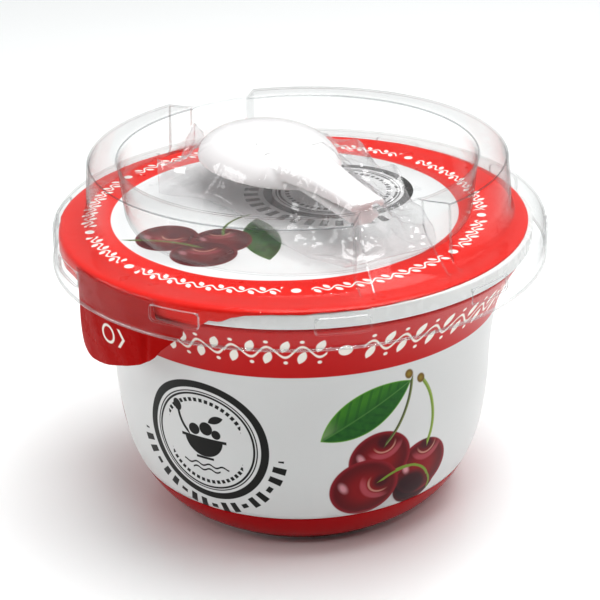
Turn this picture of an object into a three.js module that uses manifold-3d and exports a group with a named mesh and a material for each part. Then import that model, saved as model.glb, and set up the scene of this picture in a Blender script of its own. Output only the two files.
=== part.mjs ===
// A single-serve yoghurt pot: a labelled bowl with a foil lid, a clear overcap clipped over the rim,
// and a folded spoon sealed in film that lies in the overcap's recess.
import * as THREE from "three";
import { mergeVertices } from "three/addons/utils/BufferGeometryUtils.js";
import Module from "manifold-3d";

const wasm = await Module();
wasm.setup();

// Driving dimensions, in millimetres and degrees. The pot stands on z = 0 with its axis along z,
// and its front faces -y. Azimuths are taken anticlockwise from +x.
const ROUND_SIDES = 60;
const GAP = 0.3;

const RIM_RADIUS = 47.5;
const RIM_TOP = 60.7;
const RIM_SKIRT_BOTTOM = 57.4;
const MOUTH_RADIUS = 45.2;
const POT_WALL = 0.8;
const FOOT_RADIUS = 26.4;
const FLOOR_UNDERSIDE = 1.6;
const LABEL_THICKNESS = 0.35;
const LABEL_SPLIT = 10.2;

const FOIL_RADIUS = 47.7;
const FOIL_OFFSET_X = -1.2;
const FOIL_THICKNESS = 0.25;
const FOIL_BOTTOM = RIM_TOP + 0.25;
const FOIL_TOP = FOIL_BOTTOM + FOIL_THICKNESS;
const APRON_DROP = 3.5;
const TAB_AZIMUTH = -137;
const TAB_WIDTH = 23;
const TAB_BOTTOM = 43.3;
const TAB_TOP = FOIL_TOP - 0.4;
const TAB_CORNER = 5;
const TAB_INNER_RADIUS = 49;
// The tab's right side, as [sideways, height]: a slanted lower edge, and a gusset that joins it to the lid.
const TAB_RIGHT_SIDE = [
  [-1, TAB_BOTTOM],
  [TAB_WIDTH / 2, 48.6],
  [18, 54.8],
  [18, 56.8],
  [TAB_WIDTH / 2, 57.2],
];

const CAP_WALL = 0.5;
const CAP_SKIRT_RADIUS = 50.25;
const CAP_SKIRT_BOTTOM = 54.5;
const CAP_LIP_RADIUS = 50.55;
const CAP_LIP_TOP = 55.2;
const FLANGE_TOP = 62.4;
// The rounded edge between skirt and flange, as [inwards, downwards] from the corner they would meet in.
const SKIRT_EDGE = [
  [0.05, 4.4],
  [0.25, 1],
  [0.65, 0.3],
  [1.4, 0],
];
const RING_TOP = 74.9;
const RING_OUTER = 42.3;
const RING_INNER = 35.9;
// The ring's walls from foot to crown, as [radially away from the wall, height over the flange].
const RING_WALL = [
  [1.9, 0],
  [1.3, 0.5],
  [0.8, 1.6],
  [0, 11.3],
  [-0.35, 12.1],
  [-1.1, 12.5],
];
const SPOON_AZIMUTH = -62.5;
const GRIP_HALF_WIDTH = 6;
const GRIP_SPLAY = 0.85;
const GRIP_BACK_RADIUS = 36.7;
const GRIP_RAMP_TOP = 70;
const GRIP_RAMP_FOOT = 44.4;
const BEAD_COUNT = 10;
const BEAD_AZIMUTH = -117.5;
const BEAD_WIDTH = 10.5;
const BEAD_RISE = 0.25;
const BEAD_BOTTOM = FLANGE_TOP - 5;
const BEAD_TOP = FLANGE_TOP - 1.6;
const BEAD_CORNER = 1;

const SPOON_OFFSET = 1.3;
const BOWL_CENTRE = -14.3;
const BOWL_LENGTH = 38;
const BOWL_WIDTH = 28;
const BOWL_DEPTH = 6.7;
const BOWL_EDGE_HEIGHT = 67.6;
const SPOON_WALL = 1;
const NECK_START = BOWL_CENTRE + BOWL_LENGTH / 2 - 5.5;
const NECK_END = 26;
const NECK_WIDTH = 9.5;
const NECK_BOTTOM = 69.3;
const NECK_RISE = 3.4;
const NECK_FALL = 0.8;
const FOLD_WIDTH = 6;
const FOLD_THICKNESS = 1.6;
const HANDLE_BOTTOM = 66.5;
const HANDLE_THICKNESS = 1.5;
// Half of the folded handle's outline, and half of the film's, as [along the spoon, sideways].
const HANDLE_OUTLINE = [
  [-24, 2.4],
  [-20, 3.4],
  [NECK_END, 3.2],
];
const FILM_BOTTOM = FLANGE_TOP + 0.4;
const FILM_THICKNESS = 0.4;
const FILM_OUTLINE = [
  [-32.5, 7],
  [-27, 16],
  [-12, 18],
  [10, 17],
  [24, 14],
  [32, 8],
];

// The visible side of the pot, from the floor up to the rim, as a smooth curve of [radius, height].
const SIDE_POINTS = [
  [27.4, 0.4],
  [32.4, 4.5],
  [36, LABEL_SPLIT],
  [38.2, 17.1],
  [39.3, 26],
  [39.7, 35],
  [41, 44.3],
  [43.6, 51],
  [46.9, 56.9],
];
const SIDE_STEPS = 16;
const side = new THREE.SplineCurve(SIDE_POINTS.map(([r, z]) => new THREE.Vector2(r, z)));

// How far along the side a height lies, from 0 at the floor to 1 under the rim.
function shareAt(height) {
  let low = 0;
  let high = 1;
  while (high - low > 1e-6) {
    const middle = (low + high) / 2;
    if (side.getPoint(middle).y < height) low = middle;
    else high = middle;
  }
  return high;
}

// The stretch of the side between two heights, moved inwards along its own normal.
function sideProfile(lowest, highest, inset) {
  const start = shareAt(lowest);
  const end = shareAt(highest);
  const steps = Math.ceil(SIDE_STEPS * (end - start));
  const profile = [];
  for (let step = 0; step <= steps; step++) {
    const share = start + ((end - start) * step) / steps;
    const along = side.getTangent(share);
    const inwards = new THREE.Vector2(-along.y, along.x).multiplyScalar(inset);
    profile.push(side.getPoint(share).add(inwards).toArray());
  }
  return profile;
}

// A closed geometry as a manifold solid, and back again.
function solidFrom(geometry) {
  const bare = geometry.clone();
  bare.deleteAttribute("normal");
  bare.deleteAttribute("uv");
  const merged = mergeVertices(bare, 1e-4);
  return new wasm.Manifold(
    new wasm.Mesh({
      numProp: 3,
      vertProperties: merged.attributes.position.array,
      triVerts: new Uint32Array(merged.index.array),
    }),
  );
}

function geometryFrom(solid) {
  const mesh = solid.getMesh();
  const geometry = new THREE.BufferGeometry();
  geometry.setAttribute("position", new THREE.BufferAttribute(mesh.vertProperties, 3));
  geometry.setIndex(new THREE.BufferAttribute(mesh.triVerts, 1));
  geometry.computeVertexNormals();
  return geometry;
}

// A solid of revolution about z. The outline of [radius, height] corners runs anticlockwise.
function turned(outline) {
  const closed = [...outline, outline[0]].map(([r, z]) => new THREE.Vector2(r, z));
  return solidFrom(new THREE.LatheGeometry(closed, ROUND_SIDES).rotateX(Math.PI / 2));
}

// A prism of a flat outline, standing on z = bottom.
function upright(corners, bottom, height) {
  const shape = new THREE.Shape(corners.map(([x, y]) => new THREE.Vector2(x, y)));
  const geometry = new THREE.ExtrudeGeometry(shape, { depth: height, bevelEnabled: false });
  return solidFrom(geometry.translate(0, 0, bottom));
}

// A curved plate: the part of a thin upright band that lies behind a flat outline of
// [sideways, height] corners facing the given azimuth.
function curvedPlate(azimuth, innerRadius, thickness, shape) {
  const heights = shape.getPoints().map((point) => point.y);
  const low = Math.min(...heights) - 1;
  const high = Math.max(...heights) + 1;
  const outer = innerRadius + thickness;
  const band = turned([[innerRadius, low], [outer, low], [outer, high], [innerRadius, high]]);
  const punch = new THREE.ExtrudeGeometry(shape, {
    depth: 2 * innerRadius,
    bevelEnabled: false,
    curveSegments: 5,
  });
  punch.rotateX(Math.PI / 2);
  punch.rotateZ(THREE.MathUtils.degToRad(azimuth + 90));
  return band.intersect(solidFrom(punch));
}

// A rounded rectangle of [sideways, height], centred sideways.
function roundedPlate(width, low, high, corner) {
  const half = width / 2;
  const shape = new THREE.Shape();
  shape.absarc(-half + corner, low + corner, corner, Math.PI, 1.5 * Math.PI, false);
  shape.absarc(half - corner, low + corner, corner, 1.5 * Math.PI, 2 * Math.PI, false);
  shape.absarc(half - corner, high - corner, corner, 0, 0.5 * Math.PI, false);
  shape.absarc(-half + corner, high - corner, corner, 0.5 * Math.PI, Math.PI, false);
  return shape;
}

// The bowl-shaped pot: a thin wall, a foot ring, a raised floor and a solid sealing rim.
function potSolid() {
  const hidden = LABEL_THICKNESS + GAP;
  const outside = sideProfile(0, RIM_TOP, hidden);
  const floorTop = FLOOR_UNDERSIDE + POT_WALL;
  const inside = sideProfile(floorTop, RIM_SKIRT_BOTTOM - 2, hidden + POT_WALL);
  return turned([
    [0, FLOOR_UNDERSIDE],
    [FOOT_RADIUS - 1.4, FLOOR_UNDERSIDE],
    [FOOT_RADIUS - 1, 0],
    [FOOT_RADIUS, 0],
    ...outside,
    [outside.at(-1)[0], RIM_SKIRT_BOTTOM],
    [RIM_RADIUS, RIM_SKIRT_BOTTOM],
    [RIM_RADIUS, RIM_TOP - 0.4],
    [RIM_RADIUS - 0.4, RIM_TOP],
    [MOUTH_RADIUS, RIM_TOP],
    [MOUTH_RADIUS - 0.2, RIM_SKIRT_BOTTOM],
    ...inside.reverse(),
    [FOOT_RADIUS - 1, floorTop],
    [0, floorTop],
  ]);
}

// A label is a thin skin that follows the side between two heights.
function labelSolid(lowest, highest) {
  const skin = sideProfile(lowest, highest, LABEL_THICKNESS);
  return turned([...sideProfile(lowest, highest, 0), ...skin.reverse()]);
}

// The foil disc is laid a little off centre, and its edge is pressed down beside the tab.
function foilSolid() {
  const disc = turned([
    [0, FOIL_BOTTOM],
    [FOIL_RADIUS, FOIL_BOTTOM],
    [FOIL_RADIUS, FOIL_TOP],
    [0, FOIL_TOP],
  ]);
  const low = FOIL_TOP - APRON_DROP;
  const apronSide = (azimuth, corners) =>
    curvedPlate(
      azimuth,
      FOIL_RADIUS - FOIL_THICKNESS,
      FOIL_THICKNESS,
      new THREE.Shape(corners.map(([x, z]) => new THREE.Vector2(x, z))),
    );
  const slope = [[1, low], [9.5, FOIL_TOP - 0.8]];
  const rightSide = apronSide(-112, [[-7.5, low], ...slope, [9.5, FOIL_TOP], [-7.5, FOIL_TOP]]);
  const leftSide = apronSide(-170, [[-9, FOIL_TOP - 1.5], [8.5, low], [8.5, FOIL_TOP], [-9, FOIL_TOP]]);
  return disc.add(rightSide).add(leftSide).translate([FOIL_OFFSET_X, 0, 0]);
}

// The pull tab hangs down beside the rim.
function tabSolid() {
  const half = TAB_WIDTH / 2;
  const outline = new THREE.Shape();
  outline.moveTo(-half, TAB_TOP);
  outline.lineTo(-half, TAB_BOTTOM + TAB_CORNER);
  outline.absarc(-half + TAB_CORNER, TAB_BOTTOM + TAB_CORNER, TAB_CORNER, Math.PI, 1.5 * Math.PI, false);
  for (const [x, z] of TAB_RIGHT_SIDE) outline.lineTo(x, z);
  outline.lineTo(half, TAB_TOP);
  return curvedPlate(TAB_AZIMUTH, TAB_INNER_RADIUS, FOIL_THICKNESS, outline);
}

// Two finger grips are pressed into the ring from outside, in line with the spoon. Each has splayed
// ends, an upright back and a ramp down to the flange, and leaves the ring's inner wall whole.
function gripCutter(inset) {
  const near = RING_INNER - 2;
  const far = RING_OUTER + 4;
  const top = RING_TOP + 2;
  const halfAt = (radius) => GRIP_HALF_WIDTH + inset + GRIP_SPLAY * (radius - RING_INNER);
  const wedge = upright(
    [
      [near, -halfAt(near)],
      [far, -halfAt(far)],
      [far, halfAt(far)],
      [near, halfAt(near)],
    ],
    FLANGE_TOP - 2,
    top - FLANGE_TOP + 4,
  );
  const back = GRIP_BACK_RADIUS - inset;
  const outside = turned([
    [far + 9, FLANGE_TOP - inset],
    [far + 9, top],
    [back, top],
    [back, GRIP_RAMP_TOP - inset],
    [GRIP_RAMP_FOOT - inset, FLANGE_TOP - inset],
  ]);
  return wedge
    .rotate([0, 0, SPOON_AZIMUTH])
    .add(wedge.rotate([0, 0, SPOON_AZIMUTH + 180]))
    .intersect(outside);
}

// The clear overcap: a flange and skirt over the rim, with a hollow raised ring around the recess.
function overcapSolid() {
  const skirt = (inset, bottom) => [
    [0, bottom],
    [CAP_SKIRT_RADIUS - inset, bottom],
    ...SKIRT_EDGE.map(([inwards, down]) => [CAP_SKIRT_RADIUS - inset - inwards, FLANGE_TOP - inset - down]),
    [0, FLANGE_TOP - inset],
  ];
  const ring = (inset, bottom) => {
    const outer = RING_WALL.map(([away, up]) => [RING_OUTER + away - inset, FLANGE_TOP - inset + up]);
    const inner = RING_WALL.map(([away, up]) => [RING_INNER - away + inset, FLANGE_TOP - inset + up]);
    return [[outer[0][0], bottom], ...outer, ...inner.reverse(), [inner.at(-1)[0], bottom]];
  };
  const lip = turned([
    [0, CAP_SKIRT_BOTTOM],
    [CAP_LIP_RADIUS, CAP_SKIRT_BOTTOM],
    [CAP_LIP_RADIUS, CAP_LIP_TOP],
    [0, CAP_LIP_TOP],
  ]);
  const outside = turned(skirt(0, CAP_SKIRT_BOTTOM))
    .add(lip)
    .add(turned(ring(0, FLANGE_TOP - 0.3)).subtract(gripCutter(0)));
  const inside = turned(skirt(CAP_WALL, CAP_SKIRT_BOTTOM - 1)).add(
    turned(ring(CAP_WALL, FLANGE_TOP - 1.5)).subtract(gripCutter(CAP_WALL)),
  );
  const bead = roundedPlate(BEAD_WIDTH, BEAD_BOTTOM, BEAD_TOP, BEAD_CORNER);
  const beadThickness = CAP_WALL / 2 + BEAD_RISE;
  let shell = outside.subtract(inside);
  for (let index = 0; index < BEAD_COUNT; index++) {
    const azimuth = BEAD_AZIMUTH + (360 * index) / BEAD_COUNT;
    shell = shell.add(curvedPlate(azimuth, CAP_SKIRT_RADIUS - CAP_WALL / 2, beadThickness, bead));
  }
  return shell;
}

// The whole of an outline that is the same on both sides of the spoon's own x axis.
function bothSides(half) {
  const mirrored = half.map(([x, y]) => [x, -y]);
  return [...mirrored, ...half.toReversed()];
}

// The spoon's own frame has +x along its handle. This turns a solid from that frame into place.
function intoRecess(solid) {
  return solid.translate([0, SPOON_OFFSET, 0]).rotate([0, 0, SPOON_AZIMUTH]);
}

// The spoon lies folded: the bowl is upside down on top and the handle is turned back beneath it.
function spoonSolid() {
  const dome = (inset) =>
    solidFrom(
      new THREE.SphereGeometry(1, 28, 14)
        .rotateX(Math.PI / 2)
        .scale(BOWL_LENGTH / 2 - inset, BOWL_WIDTH / 2 - inset, BOWL_DEPTH - inset)
        .translate(BOWL_CENTRE, 0, BOWL_EDGE_HEIGHT),
    );
  const below = upright([[-60, -30], [60, -30], [60, 30], [-60, 30]], 0, BOWL_EDGE_HEIGHT);
  const bowl = dome(0).subtract(dome(SPOON_WALL)).subtract(below);

  const sideView = (corners, width) => {
    const shape = new THREE.Shape(corners.map(([x, z]) => new THREE.Vector2(x, z)));
    const plate = new THREE.ExtrudeGeometry(shape, { depth: width, bevelEnabled: false });
    return solidFrom(plate.rotateX(Math.PI / 2).translate(0, width / 2, 0));
  };
  const neck = sideView(
    [
      [NECK_START, NECK_BOTTOM],
      [NECK_END, NECK_BOTTOM - NECK_FALL],
      [NECK_END, NECK_BOTTOM + NECK_RISE - NECK_FALL],
      [NECK_START, NECK_BOTTOM + NECK_RISE],
    ],
    NECK_WIDTH,
  );
  const fold = sideView(
    [
      [NECK_END - FOLD_THICKNESS, HANDLE_BOTTOM],
      [NECK_END, HANDLE_BOTTOM],
      [NECK_END + 0.6, (HANDLE_BOTTOM + NECK_BOTTOM) / 2],
      [NECK_END, NECK_BOTTOM],
      [NECK_END - FOLD_THICKNESS, NECK_BOTTOM],
    ],
    FOLD_WIDTH,
  );
  const handle = upright(bothSides(HANDLE_OUTLINE), HANDLE_BOTTOM, HANDLE_THICKNESS);
  return intoRecess(bowl.add(neck).add(fold).add(handle));
}

// The film wrapper's lower face, which lines the recess under the spoon.
function filmSolid() {
  return upright(bothSides(FILM_OUTLINE), FILM_BOTTOM, FILM_THICKNESS).rotate([0, 0, SPOON_AZIMUTH]);
}

function piece(name, solid, finish) {
  const mesh = new THREE.Mesh(geometryFrom(solid), new THREE.MeshStandardMaterial(finish));
  mesh.name = name;
  return mesh;
}

const whitePlastic = { color: 0xf1f1ef, roughness: 0.3, metalness: 0 };
const redPrint = { color: 0xc4161c, roughness: 0.28, metalness: 0 };
const redFoil = { color: 0xe2231f, roughness: 0.35, metalness: 0.25 };
const clearPlastic = { color: 0xf4f7f8, roughness: 0.06, metalness: 0, transparent: true, opacity: 0.25 };

const yoghurtPot = new THREE.Group();
yoghurtPot.add(
  piece("pot", potSolid(), whitePlastic),
  piece("side_label", labelSolid(LABEL_SPLIT + 0.2, RIM_TOP), whitePlastic),
  piece("base_label", labelSolid(0, LABEL_SPLIT), redPrint),
  piece("foil_lid", foilSolid(), redFoil),
  piece("pull_tab", tabSolid(), redFoil),
  piece("overcap", overcapSolid(), clearPlastic),
  piece("spoon", spoonSolid(), whitePlastic),
  piece("spoon_film", filmSolid(), clearPlastic),
);

export default yoghurtPot;
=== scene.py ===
"""The looks of a single-serve yoghurt pot: labels, foil lid, clear overcap and a film-wrapped spoon."""

import math

import bmesh
import bpy
import numpy as np
from mathutils import Matrix, Vector


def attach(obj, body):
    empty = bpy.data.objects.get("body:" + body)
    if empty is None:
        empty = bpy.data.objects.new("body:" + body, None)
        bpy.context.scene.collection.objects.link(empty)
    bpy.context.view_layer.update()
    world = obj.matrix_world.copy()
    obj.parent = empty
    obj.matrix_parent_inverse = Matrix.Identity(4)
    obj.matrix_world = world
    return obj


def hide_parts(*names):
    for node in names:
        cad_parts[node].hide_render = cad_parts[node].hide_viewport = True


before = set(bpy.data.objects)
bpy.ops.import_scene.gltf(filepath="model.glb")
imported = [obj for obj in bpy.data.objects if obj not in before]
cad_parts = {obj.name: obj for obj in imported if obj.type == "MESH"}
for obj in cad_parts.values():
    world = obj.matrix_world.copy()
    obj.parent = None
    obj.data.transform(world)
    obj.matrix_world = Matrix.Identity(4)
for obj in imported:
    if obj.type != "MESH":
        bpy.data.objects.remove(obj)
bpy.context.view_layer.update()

MM_PER_M = 1000
MM = 1 / MM_PER_M


# ---- shader nodes and arithmetic


def feed(tree, socket, value):
    """Links a Field or a socket to a node's input, or sets a constant there."""
    if isinstance(value, Field):
        value = value.socket
    if isinstance(value, bpy.types.NodeSocket):
        tree.links.new(value, socket)
    else:
        socket.default_value = (*value, 1) if socket.type == "RGBA" else value


def node(tree, kind, inputs=None, **properties):
    """A new shader node, with its properties and its inputs, which go by name or by place."""
    made = tree.nodes.new("ShaderNode" + kind)
    for name, value in properties.items():
        setattr(made, name, value)
    for place, value in (inputs or {}).items():
        feed(tree, made.inputs[place], value)
    return made


class Field:
    """A number that a shader works out at each point: arithmetic on it adds Math nodes."""

    def __init__(self, tree, socket):
        self.tree, self.socket = tree, socket

    def op(self, kind, *others, clamp=False):
        inputs = dict(enumerate((self, *others)))
        return Field(self.tree, node(self.tree, "Math", inputs, operation=kind, use_clamp=clamp).outputs[0])

    def __add__(self, other):
        return self.op("ADD", other)

    def __sub__(self, other):
        return self.op("SUBTRACT", other)

    def __rsub__(self, other):
        return self.op("MULTIPLY", -1) + other

    def __mul__(self, other):
        return self.op("MULTIPLY", other)

    def __truediv__(self, other):
        return self.op("DIVIDE", other)

    def __abs__(self):
        return self.op("ABSOLUTE")

    def __neg__(self):
        return self.op("MULTIPLY", -1)

    def least(self, *others):
        """The least of some distances: a point is inside where any of them is below 0."""
        field = self
        for other in others:
            field = field.op("MINIMUM", other)
        return field

    def most(self, *others):
        """The greatest of some distances: a point is inside where all of them are below 0."""
        field = self
        for other in others:
            field = field.op("MAXIMUM", other)
        return field

    def sine(self):
        return self.op("SINE")

    def wrapped(self, low, high):
        return self.op("WRAP", high, low)

    def fade(self, start, end, low=0.0, high=1.0):
        """Goes smoothly from low to high as the field goes from start to end."""
        inputs = {"Value": self, "From Min": start, "From Max": end, "To Min": low, "To Max": high}
        ramp = node(self.tree, "MapRange", inputs, interpolation_type="SMOOTHSTEP")
        return Field(self.tree, ramp.outputs[0])

    def ink(self, soft=0.12):
        """1 where the field, a distance in millimetres, is below 0, with an edge as wide as soft."""
        return self.op("MULTIPLY_ADD", -1 / soft, 0.5, clamp=True)


class Spot:
    """A place on a print, in millimetres, as a vector that the shader works out at each point."""

    def __init__(self, tree, socket):
        self.tree, self.socket = tree, socket

    @classmethod
    def of(cls, x, y):
        return cls(x.tree, node(x.tree, "CombineXYZ", {0: x, 1: y}).outputs[0])

    def measure(self, kind, *vectors):
        inputs = {0: self.socket}
        inputs.update((place, (*vector, 0)) for place, vector in enumerate(vectors, 1))
        return Field(self.tree, node(self.tree, "VectorMath", inputs, operation=kind).outputs[1])

    def away_from(self, point):
        return self.measure("DISTANCE", point)

    def along(self, heading):
        return self.measure("DOT_PRODUCT", heading)

    def length(self):
        return self.measure("LENGTH")

    def local(self, at, turn=0.0, size=(1, 1)):
        """The place as seen from a point on the print, turned by some degrees and scaled."""
        inputs = {
            "Vector": self.socket,
            "Location": (*at, 0),
            "Rotation": (0, 0, math.radians(turn)),
            "Scale": (*size, 1),
        }
        return Spot(self.tree, node(self.tree, "Mapping", inputs, vector_type="TEXTURE").outputs[0])

    def x_and_y(self):
        apart = node(self.tree, "SeparateXYZ", {0: self.socket})
        return Field(self.tree, apart.outputs[0]), Field(self.tree, apart.outputs[1])

    def disc(self, at, radius):
        return self.away_from(at) - radius

    def ring(self, at, radius, width):
        return abs(self.away_from(at) - radius) - width / 2

    def arc(self, start, middle, end, width):
        """A stroke of some width along the circle arc through three points."""
        centre, radius = circle_through(start, middle, end)
        chord = np.subtract(end, start)
        heading = np.array([-chord[1], chord[0]]) / np.linalg.norm(chord)
        if heading @ np.subtract(middle, start) < 0:
            heading = -heading
        beyond = self.along(heading) - float(heading @ np.asarray(start))
        return (abs(self.away_from(centre) - radius) - width / 2).most(-beyond)

    def lens(self, tip, base, upper, lower):
        """A leaf's outline: the overlap of two discs whose edges meet in its tip and base."""
        first, first_radius = circle_through(tip, upper, base)
        second, second_radius = circle_through(tip, lower, base)
        return self.disc(first, first_radius).most(self.disc(second, second_radius))


def circle_through(a, b, c):
    (ax, ay), (bx, by), (cx, cy) = a, b, c
    d = 2 * (ax * (by - cy) + bx * (cy - ay) + cx * (ay - by))
    a2, b2, c2 = ax * ax + ay * ay, bx * bx + by * by, cx * cx + cy * cy
    x = (a2 * (by - cy) + b2 * (cy - ay) + c2 * (ay - by)) / d
    y = (a2 * (cx - bx) + b2 * (ax - cx) + c2 * (bx - ax)) / d
    return (x, y), math.hypot(ax - x, ay - y)


class Paint:
    """Colours laid one over another, each through a mask between 0 and 1."""

    def __init__(self, tree, colour):
        self.tree, self.colour = tree, colour

    def lay(self, colour, mask):
        mix = node(self.tree, "Mix", {0: mask}, data_type="RGBA")
        feed(self.tree, mix.inputs[6], self.colour)
        feed(self.tree, mix.inputs[7], colour)
        self.colour = mix.outputs[2]
        return self


class Finish:
    """A material with one Principled shader, and helpers for its textures."""

    def __init__(self, name, **constants):
        self.material = bpy.data.materials.new(name)
        self.material.use_nodes = True
        self.tree = self.material.node_tree
        self.shader = self.tree.nodes["Principled BSDF"]
        for socket, value in constants.items():
            self.shader.inputs[socket.replace("_", " ")].default_value = value
        where = node(self.tree, "TexCoord").outputs["Object"]
        scaled = node(self.tree, "VectorMath", {0: where, 1: (MM_PER_M,) * 3}, operation="MULTIPLY")
        self.at_mm = scaled.outputs[0]
        apart = node(self.tree, "SeparateXYZ", {0: self.at_mm})
        self.x, self.y, self.z = (Field(self.tree, socket) for socket in apart.outputs)

    def noise(self, per_mm, detail=2.0, rough=0.5):
        inputs = {"Scale": per_mm, "Detail": detail, "Roughness": rough, "Vector": self.at_mm}
        return Field(self.tree, node(self.tree, "TexNoise", inputs).outputs["Fac"])

    def bump(self, height, millimetres, strength=1.0, after=None):
        inputs = {"Strength": strength, "Distance": millimetres * MM, "Height": height}
        if after is not None:
            inputs["Normal"] = after
        return node(self.tree, "Bump", inputs).outputs[0]

    def link(self, socket, value):
        feed(self.tree, self.shader.inputs[socket], value)


# ---- camera and light

CAMERA_AT = (-0.0002126, -0.30452, 0.18288)
CAMERA_DOWN = 24.937
CAMERA_ROLL = -1.4216
LENS = 95.99

camera_data = bpy.data.cameras.new("camera")
camera_data.lens = LENS
camera_data.sensor_width = 36
camera = bpy.data.objects.new("camera", camera_data)
camera.matrix_world = (
    Matrix.Translation(CAMERA_AT)
    @ Matrix.Rotation(math.radians(90 - CAMERA_DOWN), 4, "X")
    @ Matrix.Rotation(math.radians(CAMERA_ROLL), 4, "Z")
)
bpy.context.collection.objects.link(camera)
bpy.context.scene.camera = camera


def softbox(name, at, look_at, size, watts):
    light = bpy.data.lights.new(name, "AREA")
    light.shape = "RECTANGLE"
    light.size, light.size_y = size
    light.energy = watts
    lamp = bpy.data.objects.new(name, light)
    aim = Vector(look_at) - Vector(at)
    lamp.matrix_world = Matrix.Translation(at) @ aim.to_track_quat("-Z", "Y").to_matrix().to_4x4()
    bpy.context.collection.objects.link(lamp)
    return lamp


softbox("overhead", (0.12, 0.02, 0.75), (0, 0, 0.03), (0.62, 0.56), 4.6)
softbox("right", (0.75, -0.05, 0.35), (0, 0, 0.04), (0.6, 0.5), 0.80)
softbox("left", (-0.75, -0.10, 0.25), (0, 0, 0.04), (0.5, 0.3), 1.25)
softbox("left strip", (-0.18, -0.42, 0.50), (0, -0.04, 0.06), (0.14, 0.005), 0.20)
softbox("right strip", (0.17, -0.42, 0.50), (0, -0.04, 0.06), (0.24, 0.005), 0.34)

scene = bpy.context.scene
scene.world = bpy.data.worlds.new("tent")
scene.world.use_nodes = True
tent = scene.world.node_tree
tent.nodes.clear()
# The tent glows all round, less and less towards the photographer, who stands in the dark.
towards_back = node(tent, "SeparateXYZ", {0: node(tent, "TexCoord").outputs["Generated"]}).outputs["Y"]
brightness = Field(tent, towards_back).fade(-0.74, -0.16, 0.02, 0.61)
glow = node(tent, "Background", {"Strength": brightness})
node(tent, "OutputWorld", {"Surface": glow.outputs[0]})

scene.view_settings.view_transform = "Standard"
scene.view_settings.look = "Medium High Contrast"
scene.cycles.max_bounces = 16
scene.cycles.transmission_bounces = 16
scene.cycles.transparent_max_bounces = 40
scene.cycles.glossy_bounces = 6


# ---- prints

WHITE_PRINT = (0.70, 0.705, 0.70)
RED_PRINT = (0.52, 0.004, 0.004)
BASE_RED = (0.38, 0.003, 0.006)
BLACK_INK = (0.014, 0.014, 0.013)
PALE_INK = (0.87, 0.83, 0.76)

LABEL_RADIUS = 39.5
BAND_BOTTOM, BAND_RADIUS = 44.3, 43.0
# Azimuths of the dots on the foil's red ring.
RING_DOTS = (-166.1, -137.5, -87.1, -36.5, -7.9, 46.8, 97.2, 147.8)


def dimmed(colour, dark):
    return tuple(dark * c for c in colour)


def draw_cherry(paint, spot, at, size, dimple, shine, dark=1.0):
    """One cherry: dark red, darker towards its edge, with a dimple and two soft highlights."""
    near = spot.local(at, 0, size)
    out = near.length()
    body = Paint(spot.tree, dimmed((0.25, 0.006, 0.010), dark))
    body.lay(dimmed((0.12, 0.004, 0.008), dark), out.fade(0.25, 0.85))
    body.lay(dimmed((0.26, 0.012, 0.022), dark), out.fade(0.82, 1.0))
    from_dimple = near.away_from(dimple)
    towards = np.array(shine) / np.linalg.norm(shine)
    side = near.along(tuple(towards)) - float(towards @ np.asarray(dimple))
    crescent = abs(from_dimple - 0.52).fade(0.13, 0.05) * side.fade(0.1, 0.42)
    body.lay((0.52, 0.11, 0.14), crescent * (0.6 * dark))
    body.lay((0.05, 0.004, 0.010), from_dimple.fade(0.34, 0.12) * 0.85)
    body.lay((0.62, 0.34, 0.26), abs(from_dimple - 0.36).fade(0.05, 0.01) * side.fade(0.0, 0.3) * 0.7)
    glint = near.local((-0.62, 0.12), 25, (0.16, 0.30)).length()
    body.lay((0.72, 0.36, 0.40), glint.fade(1.0, 0.2) * (0.8 * dark))
    paint.lay(body.colour, ((out - 1) * min(size)).ink(0.25))


def draw_leaf(paint, spot, tip, base, upper, lower, noise, dark=1.0):
    """A leaf with a lighter rib, paler towards its tip."""
    outline = spot.lens(tip, base, upper, lower)
    run = np.subtract(base, tip)
    length = float(np.linalg.norm(run))
    turn = math.degrees(math.atan2(run[1], run[0]))
    along, across = spot.local(tip, turn).x_and_y()
    green = Paint(spot.tree, dimmed((0.018, 0.115, 0.018), dark))
    green.lay(dimmed((0.055, 0.225, 0.018), dark), across.fade(-0.5, 3.2))
    ribs = ((along - abs(across) * 0.9) * 2.6).sine()
    green.lay((0.010, 0.070, 0.016), ribs.fade(0.3, 0.9) * 0.5)
    green.lay((0.030, 0.160, 0.020), noise.fade(0.35, 0.65) * 0.5)
    green.lay((0.30, 0.42, 0.20), along.fade(length * 0.28, 0) * across.fade(-0.4, 0.8) * (0.7 * dark))
    green.lay((0.10, 0.26, 0.06), (abs(across) - 0.12).ink(0.3) * (0.8 * dark))
    green.lay((0.16, 0.42, 0.02), outline.fade(-0.35, 0) * (0.8 * dark))
    paint.lay(green.colour, outline.ink(0.2))


def dash_ring(out, heading, radius, half_width, slope):
    """A ring of 48 dashes."""
    dashes = (heading * (48 / math.pi)).wrapped(-1, 1)
    return (abs(out - radius) - half_width).most((abs(dashes) - 0.62) * slope)


def vine(step, lift, wave, swing, slant, half_width, leaf):
    """A wavy stalk with a leaf below and one above it in each wave, leaf being the lower one's lens."""
    stalk = abs(lift - (step * (2 * math.pi / wave)).sine() * swing) * slant - half_width
    cell = Spot.of(step, lift)
    upper_leaf = [(-x, -y) for x, y in leaf]
    return stalk.least(cell.lens(*leaf), cell.lens(*upper_leaf)), cell


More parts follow.
